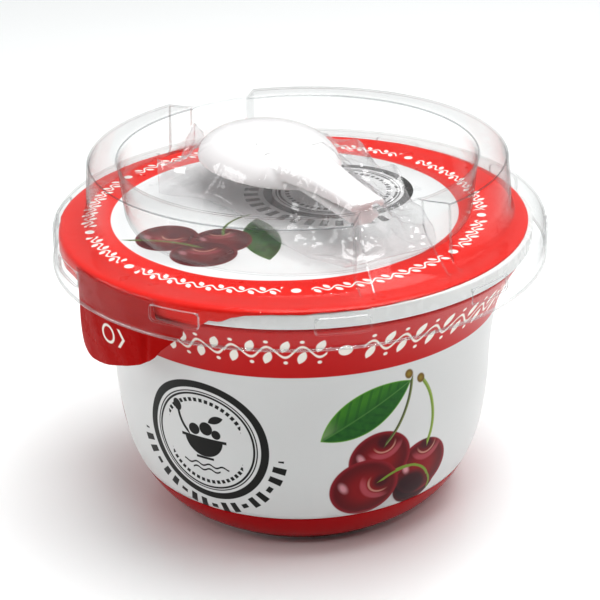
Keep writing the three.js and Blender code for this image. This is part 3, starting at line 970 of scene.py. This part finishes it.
def bead_rise(turns, sections):
    """How far the snap beads stand out of the skirt at each point of the sections."""
    rise = np.zeros(sections.shape[:2])
    for k, degrees in enumerate(turns):
        for centre in BEAD_AZIMUTHS:
            aside = math.radians(abs((degrees - centre + 180) % 360 - 180)) * SKIRT_RADIUS
            if aside > BEAD_WIDTH / 2 + 1:
                continue
            z = sections[k, :, 1]
            skirt = sections[k, :, 0] > SKIRT_RADIUS - 0.6
            out_x = aside - (BEAD_WIDTH / 2 - 1)
            out_z = np.abs(z - (BEAD_TOP + BEAD_BOTTOM) / 2) - ((BEAD_TOP - BEAD_BOTTOM) / 2 - 1)
            edge = np.hypot(np.maximum(out_x, 0), np.maximum(out_z, 0)) - 1
            edge += np.minimum(np.maximum(out_x, out_z), 0)
            rise[k] = np.where(skirt, BEAD_RISE * np.clip(0.5 - edge / 0.14, 0, 1), 0)
    return rise


def overcap_mesh(turns, sections, rise):
    radius, height = (sections[:, :, 0] + rise).T, sections[:, :, 1].T
    rings = np.stack([radius * np.cos(np.radians(turns)), radius * np.sin(np.radians(turns)), height], axis=2)
    return capped_rings(rings[1:], rings[0, 0])


CLEAR, BEND, CUT_EDGE, CORNER, BEAD = range(5)


def overcap_finishes(turns, sections, rise):
    """Which finish each face of the overcap has, as a place in its list of materials."""
    chosen = np.full((sections.shape[1] - 2, len(turns)), CLEAR)
    for row in (INNER_TOP_BEND, OUTER_TOP_BEND):
        chosen[row - 1] = BEND
    wall = sections[:, OUTER_TOP_BEND + 2, 0]
    following = np.roll(wall, -1)
    for radius in (RING_OUTER - 0.35, GRIP_BACK + 0.35):
        crossing = (wall - radius) * (following - radius) < 0
        chosen[OUTER_TOP_BEND - 1 : FLANGE_FOOT, crossing] = CORNER
    here, beside = rise[:, 1:].T, np.roll(rise[:, 1:].T, -1, axis=1)
    corners = np.stack([here[:-1], here[1:], beside[:-1], beside[1:]])
    chosen[np.ptp(corners, axis=0) > 0.5 * BEAD_RISE] = BEAD
    chosen[-3:-1] = CORNER
    chosen[-1] = CUT_EDGE
    return np.concatenate([chosen.ravel(), np.full(len(turns), CLEAR)])


clear = clear_sheet("clear_plastic", 0.004, 0.03, (0.992, 0.993, 0.992), 0.12, 0.12, 0.5)
cap_turns = overcap_turns()
cap_sections = np.array([overcap_section(turn) for turn in cap_turns])
cap_shape = cap_turns, cap_sections, bead_rise(cap_turns, cap_sections)
overcap = piece("clear_overcap", *overcap_mesh(*cap_shape), clear, "cap", "clear_plastic")
# The sharply bent lines of the sheet, its cut edge, the grips' corners, and the beads' edges, each a copy of
# the clear plastic that paints the lines seen there: the greyer see-through colour is painted shade, and the
# added haze and stronger mirror are painted highlight and reflection. The cut edge is also frosted from its
# trimming.
for finish_name, haze, see, edge, mirror in (
    ("clear_bend_painted_shade", 0.02, (0.70, 0.71, 0.715), 0.5, 0.05),
    ("clear_cut_edge_frost_and_painted_highlight", 0.10, (0.90, 0.905, 0.90), 0.6, 0.08),
    ("clear_corner_painted_shade_and_reflection", 0.03, (0.88, 0.885, 0.885), 0.75, 0.15),
    ("clear_bead_painted_highlight", 0.22, (0.86, 0.87, 0.87), 0.6, 0.10),
):
    overcap.data.materials.append(clear_sheet(finish_name, haze, 0.05, see, 0.1, 0.3, edge, mirror))
overcap.data.polygons.foreach_set("material_index", overcap_finishes(*cap_shape))
thicken(overcap, OVERCAP_SHEET, -1)
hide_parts("overcap")


# ---- the spoon

SPOON_OFFSET = 1.3
BOWL_CENTRE, BOWL_LENGTH, BOWL_WIDTH, BOWL_EDGE = -14.3, 38, 28, 67.6
BOWL_CROWN = 74.3
# How much wider and narrower the bowl is at its far and near end, which makes it egg-shaped.
BOWL_TAPER = 0.10
NECK_START, NECK_END, HANDLE_BOTTOM = -4, 26, 66.5
NECK_TOP, NECK_FALL = 73.5, 1.5
# How much further up than its solid the folded handle is tucked under the neck.
HANDLE_TUCK, HANDLE_HALF, FOLD_TOP = 0.9, 3.3, 71.0
# The moulding gate's mark on top of the bowl, in the pot's own frame.
GATE_MARK = (-7.9, 6.6)


def into_recess(points):
    """Points of the spoon's own frame, turned and moved to where the spoon lies."""
    turn = math.radians(SPOON_AZIMUTH)
    x, y, z = np.asarray(points, float).T
    y = y + SPOON_OFFSET
    c, s = math.cos(turn), math.sin(turn)
    return np.stack([x * c - y * s, x * s + y * c, z], axis=1)


def bowl_shell(inset):
    """The bowl as rings of points from its rim up to its crown."""
    around, rings = 96, 15
    angles = np.arange(around) * 2 * math.pi / around
    rows = []
    for k in range(rings):
        rho = math.cos(math.radians(90 * k / (rings - 0.6)))
        up = (1 - rho**2.6) ** 0.5
        x = (BOWL_LENGTH / 2 - inset) * rho * np.cos(angles)
        widest = np.sqrt(np.maximum(1 - np.cos(angles) ** 2, 0)) * np.sign(np.sin(angles))
        y = (BOWL_WIDTH / 2 - inset) * rho * widest * (1 - BOWL_TAPER * np.cos(angles))
        z = np.full(around, BOWL_EDGE + (BOWL_CROWN - BOWL_EDGE - inset) * up)
        rows.append(np.stack([x + BOWL_CENTRE, y, z], axis=1))
    return rows


def solid_of(rings):
    """Points and faces of a solid made of rings of points, with a flat face on its first and its last."""
    around = len(rings[0])
    last = (len(rings) - 1) * around
    faces = grid_faces(len(rings), around, True)
    faces.append(tuple(range(around)))
    faces.append(tuple(last + k for k in range(around))[::-1])
    return np.concatenate(rings), faces


def bar(outline, places):
    """A solid bar along x: outline(x) gives its corners as (y, z) pairs."""
    return solid_of([[(x, y, z) for y, z in outline(x)] for x in places])


def neck_half_width(x):
    """Half the neck's width: it spreads where it runs into the bowl."""
    return 3.7 + 3.2 * (1 - np.clip(x / NECK_END, 0, 1)) ** 2.2


def neck_share(x):
    return np.clip((x - NECK_START) / (NECK_END - NECK_START), 0, 1)


def channel(x):
    """The neck's section: an upside-down channel, arched by the bowl, squarer and shallower at its end."""
    t = float(neck_share(x))
    top, depth, half = NECK_TOP - NECK_FALL * t, 4.4 - 2.7 * t, float(neck_half_width(x))
    square, wall = 2.6 + 4.5 * t, 1.0

    def arch(half_width, height):
        sideways = half_width * np.sin(np.linspace(-math.pi / 2, math.pi / 2, 17))
        up = (1 - np.minimum(1, np.abs(sideways / half_width)) ** square) ** (1 / square)
        return [(float(y), top - depth + float(height * u)) for y, u in zip(sideways, up)]

    return arch(half, depth) + arch(half - wall, depth - wall)[::-1]


def under_handle(x):
    """The folded handle: a flat bar, narrower towards its tip."""
    half = HANDLE_HALF - 0.25 * max(0, -20 - x)
    low = HANDLE_BOTTOM + HANDLE_TUCK
    return [(-half, low), (-half, low + 1.5), (half, low + 1.5), (half, low)]


def fold(x):
    """The thin hinge at the far end, standing between the neck and the folded handle."""
    return [(-2.0, HANDLE_BOTTOM), (-2.0, FOLD_TOP), (2.0, FOLD_TOP), (2.0, HANDLE_BOTTOM)]


def spoon_piece(material):
    solids = [
        solid_of([*bowl_shell(1.0)[::-1], *bowl_shell(0)]),
        bar(channel, np.linspace(NECK_START, NECK_END, 30)),
        bar(under_handle, np.linspace(-24, NECK_END - 1.2, 30)),
        bar(fold, (NECK_END - 2.8, NECK_END - 1.5)),
    ]
    points, faces = [], []
    for solid_points, solid_faces in solids:
        faces.extend(tuple(v + len(points) for v in face) for face in solid_faces)
        points.extend(solid_points.tolist())
    obj = shown("folded_spoon", mesh_of("spoon_draft", points, faces))
    remesh = obj.modifiers.new("join", "REMESH")
    remesh.mode = "VOXEL"
    remesh.voxel_size = 0.34
    remesh.use_smooth_shade = True
    smooth = obj.modifiers.new("soften", "SMOOTH")
    smooth.factor = 0.5
    smooth.iterations = 6
    apply_modifiers(obj)
    mesh = obj.data
    coords = np.zeros(len(mesh.vertices) * 3)
    mesh.vertices.foreach_get("co", coords)
    mesh.vertices.foreach_set("co", (into_recess(coords.reshape(-1, 3)) * MM).ravel())
    mesh.update()
    mesh.shade_smooth()
    mesh.materials.clear()
    mesh.materials.append(material)
    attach(obj, "wrapped_spoon")
    return obj


spoon_white = moulded("spoon_white", (0.93, 0.93, 0.93), 0.22, 0.006)
gate = Spot.of(spoon_white.x, spoon_white.y).away_from(GATE_MARK)
spoon_white.link("Normal", spoon_white.bump(gate.fade(0.75, 0.3), 0.25))
spoon = spoon_piece(spoon_white.material)
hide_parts("spoon")


# ---- the film wrapper

FILM_BOTTOM, FILM_REACH, FILM_HALF_LENGTH = 62.85, 35.0, 33.2
# The film's half widths to the left and right of the spoon's line, as (along, half width).
FILM_LEFT = [
    *((-33.2, 8), (-31.5, 10), (-26, 19), (-20.5, 23.4), (-17, 21), (-12, 16.5)),
    *((-4, 14.6), (6, 14), (18, 14), (26, 12.5), (33.2, 9)),
]
FILM_RIGHT = [
    *((-33.2, 9), (-30, 13), (-24, 17.5), (-12, 19.5), (6, 19)),
    *((18, 17), (26, 14.5), (31, 12), (33.2, 10.5)),
]
# Where the film's edge stands up, as (along, across, how much, how far that reaches).
FILM_PEAKS = [(-31.3, -9.8, 8.5, 5.0), (-19.7, -23.4, 6.5, 4.5), (-12, 19.5, 6.0, 7.0), (4, 19, 5.0, 6.0)]
# The creases: the seed of each set of three, their spacing, and how deep they are.
CREASES = ((31, 3.4, 0.42), (32, 5.2, 0.6), (33, 8.0, 0.7), (34, 2.2, 0.26), (35, 1.5, 0.14))


def spoon_top(x, y):
    """The height of the spoon's upper face, in its own frame, and 0 beside the spoon."""
    t = (x - BOWL_CENTRE) / (BOWL_LENGTH / 2)
    w = y / (BOWL_WIDTH / 2 * (1 - BOWL_TAPER * np.clip(t, -1, 1)))
    rho = np.sqrt(t * t + w * w)
    bowl = np.where(rho < 1, BOWL_EDGE + (BOWL_CROWN - BOWL_EDGE) * np.sqrt(np.maximum(1 - rho**2.6, 0)), 0)
    over_neck = (np.abs(y) < neck_half_width(x)) & (x > NECK_START) & (x < NECK_END + 0.3)
    neck = np.where(over_neck, NECK_TOP - NECK_FALL * neck_share(x), 0)
    return np.maximum(bowl, neck)


def drape(height, fixed, solid):
    """Relaxes the film's height until it spans from its fixed border over the solid below it."""
    for _ in range(900):
        spread = height.copy()
        beside = height[2:, 1:-1] + height[:-2, 1:-1] + (height[1:-1, 2:] + height[1:-1, :-2])
        spread[1:-1, 1:-1] = 0.25 * beside
        height = np.maximum(np.where(fixed, height, spread), np.where(fixed, 0, solid))
    return height


def film_creases(x, y):
    """Sharp little ridges that run in random directions and bend a little."""
    creases = np.zeros_like(x)
    for seed, spacing, depth in CREASES:
        draw = np.random.default_rng(seed)
        for _ in range(3):
            heading = draw.uniform(0, math.pi)
            phase = draw.uniform(0, 6)
            bend = 0.5 * ripple(x, y, int(draw.integers(1000)), 4, 14, 30)
            wave = (x * math.cos(heading) + y * math.sin(heading)) * math.pi / spacing + phase + bend
            creases += depth * (1 - 2 * np.abs(np.sin(wave))) / 3
    return creases


def film_mesh():
    """A pouch over the spoon: a tight upper face over it, falling to flat sealed ends with creases."""
    long_steps, wide_steps = 190, 120
    s = np.linspace(-FILM_HALF_LENGTH, FILM_HALF_LENGTH, long_steps)
    within = np.sqrt(np.maximum(FILM_REACH**2 - s**2, 4))
    left, right = (np.minimum(np.interp(s, *zip(*table)), within) for table in (FILM_LEFT, FILM_RIGHT))
    v = np.linspace(-1, 1, wide_steps)
    x = np.repeat(s[:, None], wide_steps, 1)
    y = np.where(v[None, :] < 0, v[None, :] * left[:, None], v[None, :] * right[:, None])

    solid = spoon_top(x, y) + 0.18
    height = np.maximum(solid, FILM_BOTTOM + 0.3)
    border_height = FILM_BOTTOM + 0.35 + 0.9 * (1 + ripple(x, y, 21, 6, 9, 26)) * (np.abs(v)[None, :] > 0.85)
    for along, across, rise, reach in FILM_PEAKS:
        border_height += rise * np.exp(-((x - along) ** 2 + (y - across) ** 2) / reach**2)
    fixed = np.ones_like(x, bool)
    fixed[1:-1, 1:-1] = False
    height[fixed] = border_height[fixed]
    height = drape(height, fixed, solid)

    lifted = np.clip((height - solid) / 2.0, 0, 1)
    inwards = np.minimum(1, (1 - np.abs(v))[None, :] * 3) * np.minimum(1, (FILM_HALF_LENGTH - np.abs(x)) / 3)
    height = height + film_creases(x, y) * (0.12 + 0.88 * lifted) * inwards
    height = np.maximum(height, np.where(solid > 60, solid, FILM_BOTTOM + 0.2))
    height = np.minimum(height, np.where(np.hypot(x, y) > 33.5, 72.0, RING_TOP - 0.05))
    upper = np.stack([x.ravel(), y.ravel(), height.ravel()], axis=1)

    lower = upper.copy()
    lower[:, 2] = FILM_BOTTOM + np.clip(0.12 * (1 + ripple(x, y, 41, 8, 4, 12)).ravel(), 0, 0.5)
    faces = grid_faces(long_steps, wide_steps, False)
    count = len(upper)
    faces += [tuple(i + count for i in face)[::-1] for face in faces]
    border = [(i, 0) for i in range(long_steps)] + [(long_steps - 1, j) for j in range(1, wide_steps)]
    border += [(i, wide_steps - 1) for i in range(long_steps - 2, -1, -1)]
    border += [(0, j) for j in range(wide_steps - 2, 0, -1)]
    loop = [i * wide_steps + j for i, j in border]
    faces += [(a, b, b + count, a + count) for a, b in zip(loop, loop[1:] + loop[:1])]
    return into_recess(np.vstack([upper, lower])), faces


film_clear = clear_sheet("film", 0.05, 0.06, (0.985, 0.98, 0.982), 0.30, 0.35, 0.86, 0.09)
film = piece("film_pouch", *film_mesh(), film_clear, "wrapped_spoon", "film")
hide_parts("spoon_film")


# ---- the floor

FLOOR_HALF, FLOOR_DROP = 3.0, 0.00005
corners = [(x * FLOOR_HALF, y * FLOOR_HALF, -FLOOR_DROP) for x, y in ((-1, -1), (1, -1), (1, 1), (-1, 1))]
floor = shown("floor", mesh_of("floor", corners, [(0, 1, 2, 3)]))
floor_finish = Finish("white_sheet", Roughness=0.32)
floor_paint = Paint(floor_finish.tree, (0.953, 0.972, 0.972))
floor_paint.lay((0.925, 0.94, 0.94), floor_finish.noise(0.01, 2))
floor_finish.link("Base Color", floor_paint.colour)
floor.data.materials.append(floor_finish.material)
